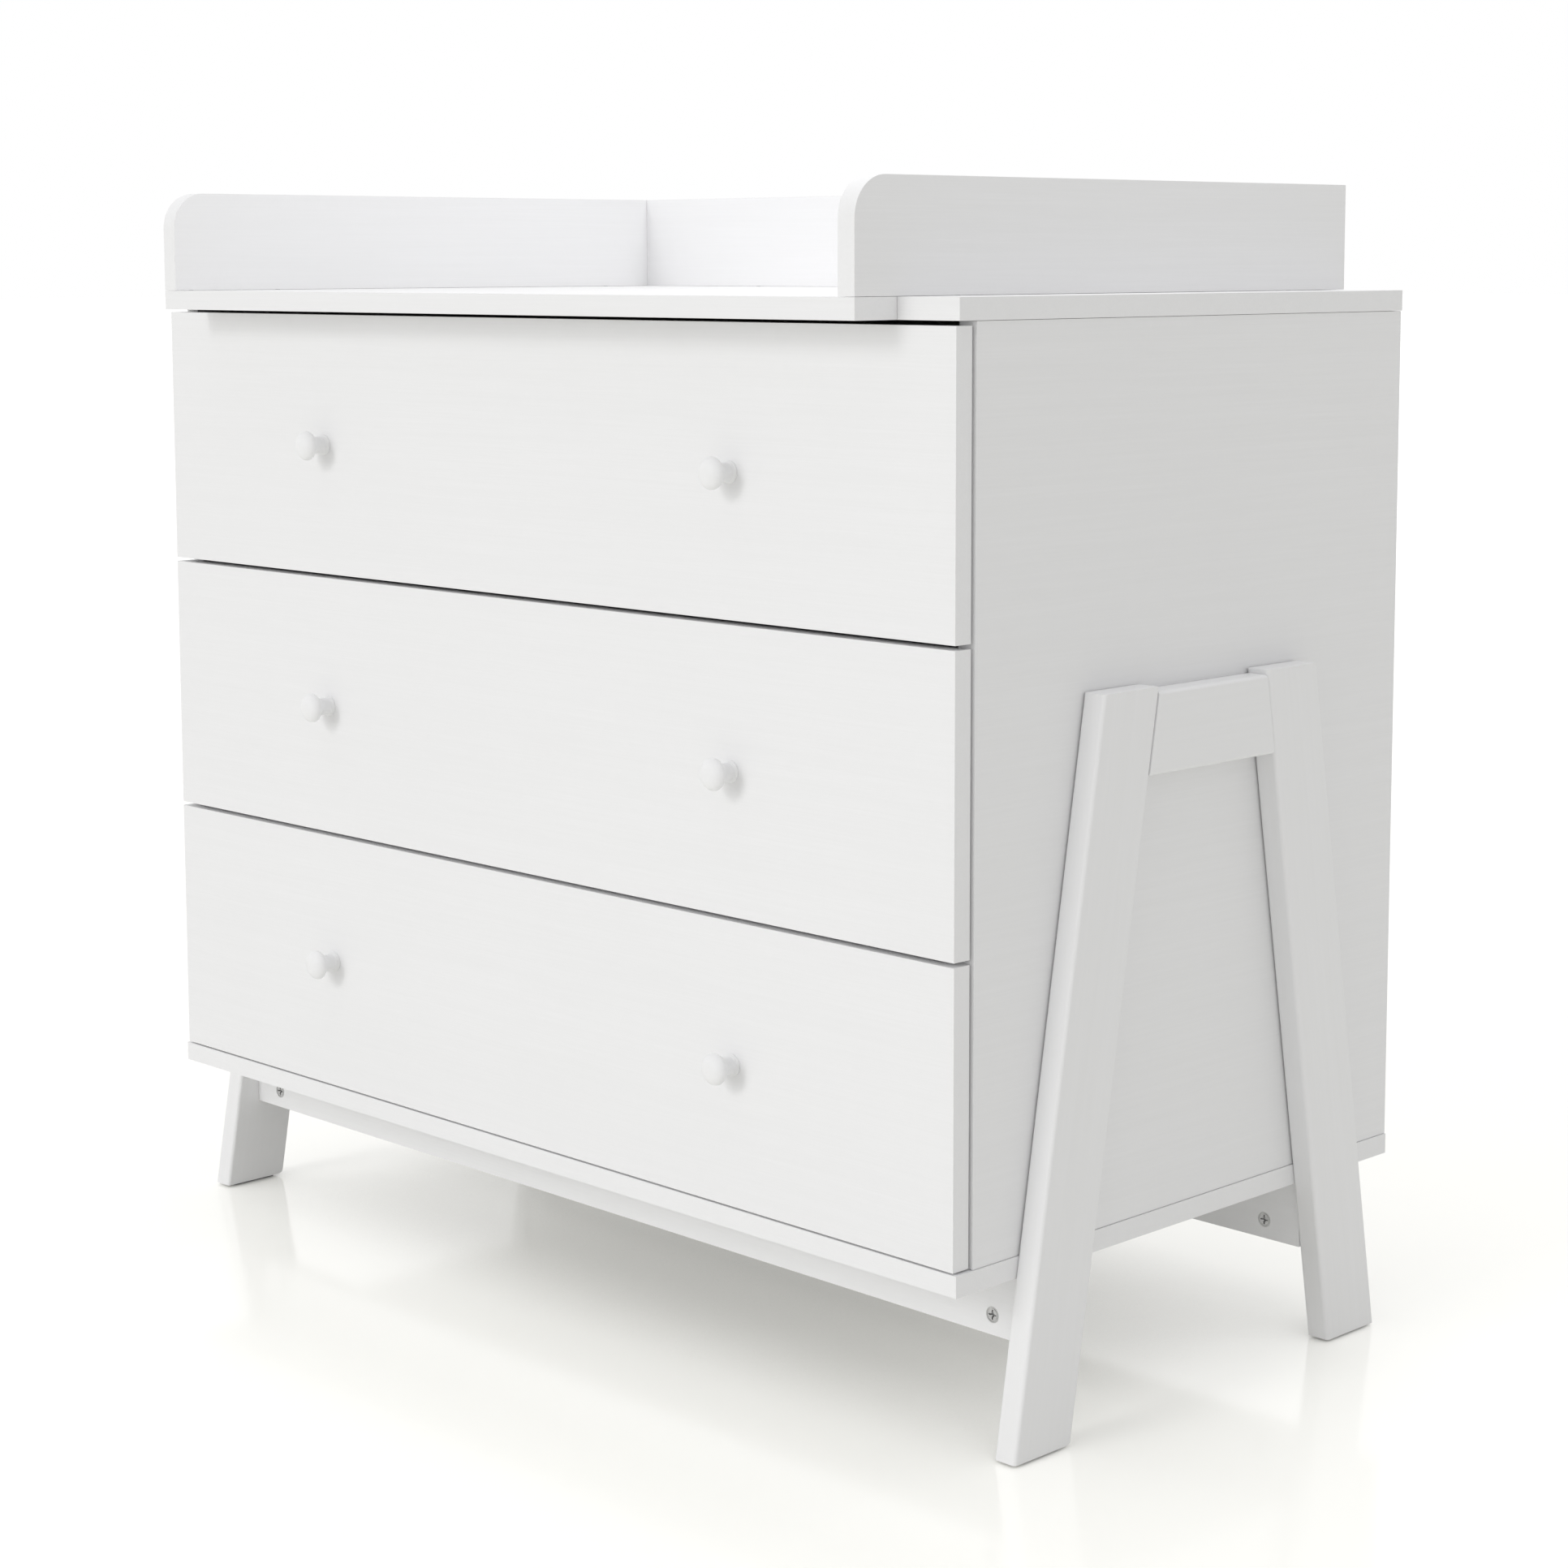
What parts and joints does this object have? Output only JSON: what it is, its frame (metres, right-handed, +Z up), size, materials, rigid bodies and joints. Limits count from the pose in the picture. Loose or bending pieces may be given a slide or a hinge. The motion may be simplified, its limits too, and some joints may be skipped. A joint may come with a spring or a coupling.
{
  "type": "changing table",
  "caption": "White changing table: a chest of sliding drawers on A-shaped leg frames, with a raised rail round its top for a changing mat.",
  "frame": {"origin": "on the floor, under the middle of the whole object", "axes": "+X to the right as seen from the front, +Y to the back, +Z up"},
  "size_m": [0.986, 0.561, 0.909],
  "materials": {
    "painted_board": "satin white foil on fibreboard, with a very fine embossed grain",
    "painted_wood": "satin white paint on solid wood",
    "drawer_board": "matte white foil on chipboard",
    "hardboard": "white painted hardboard",
    "beech": "plain turned beech",
    "zinc_alloy": "satin grey zinc",
    "runner_steel": "bright zinc plated sheet steel",
    "screw_steel": "zinc plated steel",
    "glide_plastic": "grey moulded plastic"
  },
  "bodies": {
    "chest": {"top_panel": "painted_board", "bottom_panel": "painted_board", "side_panel_left": "painted_board", "side_panel_right": "painted_board", "back_panel": "hardboard", "front_strip": "painted_board", "changer_rail_left": "painted_board", "changer_rail_right": "painted_board", "changer_rail_back": "painted_board", "front_leg_left": "painted_wood", "front_leg_right": "painted_wood", "rear_leg_left": "painted_wood", "rear_leg_right": "painted_wood", "crosspiece_left": "painted_wood", "crosspiece_right": "painted_wood", "front_stretcher": "painted_board", "rear_stretcher": "painted_board", "stretcher_cams": "zinc_alloy", "stretcher_bolts": "screw_steel", "foot_glides": "glide_plastic", "leg_screws": "screw_steel", "frame_dowels": "beech", "carcass_cams": "zinc_alloy", "carcass_bolts": "screw_steel", "changer_screws": "screw_steel", "cabinet_runners": "runner_steel"},
    "runner_slides_1": {"runner_middle_1": "runner_steel"},
    "drawer_1": {"drawer_front_1": "painted_board", "drawer_side_left_1": "drawer_board", "drawer_side_right_1": "drawer_board", "drawer_back_1": "drawer_board", "drawer_bottom_1": "hardboard", "knob_left_1": "painted_wood", "knob_right_1": "painted_wood", "knob_screws_1": "screw_steel", "drawer_fittings_1": "zinc_alloy", "drawer_runner_1": "runner_steel"},
    "runner_slides_2": {"runner_middle_2": "runner_steel"},
    "drawer_2": {"drawer_front_2": "painted_board", "drawer_side_left_2": "drawer_board", "drawer_side_right_2": "drawer_board", "drawer_back_2": "drawer_board", "drawer_bottom_2": "hardboard", "knob_left_2": "painted_wood", "knob_right_2": "painted_wood", "knob_screws_2": "screw_steel", "drawer_fittings_2": "zinc_alloy", "drawer_runner_2": "runner_steel"},
    "runner_slides_3": {"runner_middle_3": "runner_steel"},
    "drawer_3": {"drawer_front_3": "painted_board", "drawer_side_left_3": "drawer_board", "drawer_side_right_3": "drawer_board", "drawer_back_3": "drawer_board", "drawer_bottom_3": "hardboard", "knob_left_3": "painted_wood", "knob_right_3": "painted_wood", "knob_screws_3": "screw_steel", "drawer_fittings_3": "zinc_alloy", "drawer_runner_3": "runner_steel"}
  },
  "joints": [
    {"name": "drawer_1_slide", "type": "slide", "parent": "chest", "child": "drawer_1", "axis": [0, -1, 0], "range_m": [0, 0.45]},
    {"name": "runner_1_slide", "type": "slide", "parent": "chest", "child": "runner_slides_1", "axis": [0, -1, 0], "range_m": [0, 0.225]},
    {"name": "drawer_2_slide", "type": "slide", "parent": "chest", "child": "drawer_2", "axis": [0, -1, 0], "range_m": [0, 0.45]},
    {"name": "runner_2_slide", "type": "slide", "parent": "chest", "child": "runner_slides_2", "axis": [0, -1, 0], "range_m": [0, 0.225]},
    {"name": "drawer_3_slide", "type": "slide", "parent": "chest", "child": "drawer_3", "axis": [0, -1, 0], "range_m": [0, 0.45]},
    {"name": "runner_3_slide", "type": "slide", "parent": "chest", "child": "runner_slides_3", "axis": [0, -1, 0], "range_m": [0, 0.225]}
  ],
  "couplings": [
    {"joint": "runner_1_slide", "follows": "drawer_1_slide", "ratio": 0.5},
    {"joint": "runner_2_slide", "follows": "drawer_2_slide", "ratio": 0.5},
    {"joint": "runner_3_slide", "follows": "drawer_3_slide", "ratio": 0.5}
  ]
}
